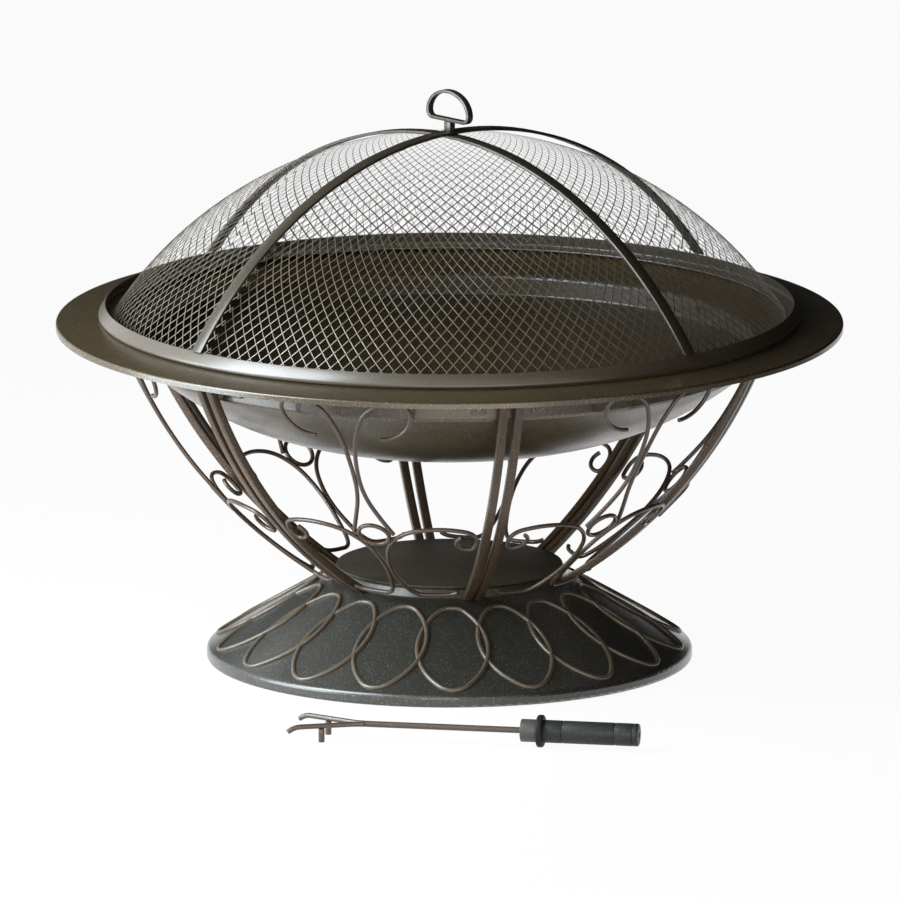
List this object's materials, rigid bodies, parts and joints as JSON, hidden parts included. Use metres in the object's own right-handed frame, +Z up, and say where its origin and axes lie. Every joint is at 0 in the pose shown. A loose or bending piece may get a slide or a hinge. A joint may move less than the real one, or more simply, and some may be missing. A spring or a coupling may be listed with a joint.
{
  "type": "fire pit",
  "caption": "Round outdoor fire pit: a spun bowl on curved legs with wire scrolls and a cone pedestal, under a domed lift-off spark screen, with a forked poker lying in front.",
  "frame": {"origin": "on the floor, at the middle of the pedestal's foot", "axes": "+Z up, -Y towards the front of the picture, +X to its right"},
  "size_m": [0.762, 0.8174, 0.5598],
  "materials": {
    "stand_coat": "speckled antique bronze powder coat on steel",
    "scroll_coat": "antique bronze powder coat on steel wire",
    "bowl_coat": "satin speckled bronze powder coat on spun steel",
    "screen_coat": "satin bronze powder coat on steel",
    "mesh_wire": "woven steel wire, coated",
    "poker_coat": "bronze coat on steel rod",
    "poker_ferrule": "dull grey steel",
    "guard_rubber": "black rubber",
    "poker_grip": "dark slate, fine speckle"
  },
  "bodies": {
    "stand": {"pedestal": "stand_coat", "waist_plate": "stand_coat", "pedestal_loops": "stand_coat", "leg_1": "stand_coat", "leg_2": "stand_coat", "leg_3": "stand_coat", "leg_4": "stand_coat", "leg_5": "stand_coat", "leg_6": "stand_coat", "scroll_upper_1": "scroll_coat", "scroll_upper_2": "scroll_coat", "scroll_upper_3": "scroll_coat", "scroll_upper_4": "scroll_coat", "scroll_upper_5": "scroll_coat", "scroll_upper_6": "scroll_coat", "scroll_lower_1": "scroll_coat", "scroll_lower_2": "scroll_coat", "scroll_lower_3": "scroll_coat", "scroll_lower_4": "scroll_coat", "scroll_lower_5": "scroll_coat", "scroll_lower_6": "scroll_coat", "scroll_rings": "scroll_coat", "top_hoop": "stand_coat", "bowl": "bowl_coat", "bowl_brackets": "stand_coat", "bowl_rivets": "stand_coat"},
    "screen": {"screen_ring": "screen_coat", "strap_lower": "screen_coat", "strap_upper": "screen_coat", "mesh_panel_1": "mesh_wire", "mesh_panel_2": "mesh_wire", "mesh_panel_3": "mesh_wire", "mesh_panel_4": "mesh_wire", "handle_loop": "screen_coat", "handle_stem": "screen_coat"},
    "poker": {"poker_shaft": "poker_coat", "poker_prongs": "poker_coat", "poker_pegs": "poker_coat", "poker_ferrule": "poker_ferrule", "poker_guard": "guard_rubber", "poker_grip": "poker_grip", "poker_end_cap": "poker_grip"}
  },
  "joints": [
    {"name": "screen_lift", "type": "slide", "parent": "stand", "child": "screen", "axis": [0, 0, 1], "range_m": [0, 0.35]},
    {"name": "poker_lift", "type": "slide", "parent": "stand", "child": "poker", "axis": [0, 0, 1], "range_m": [0, 0.25]}
  ]
}
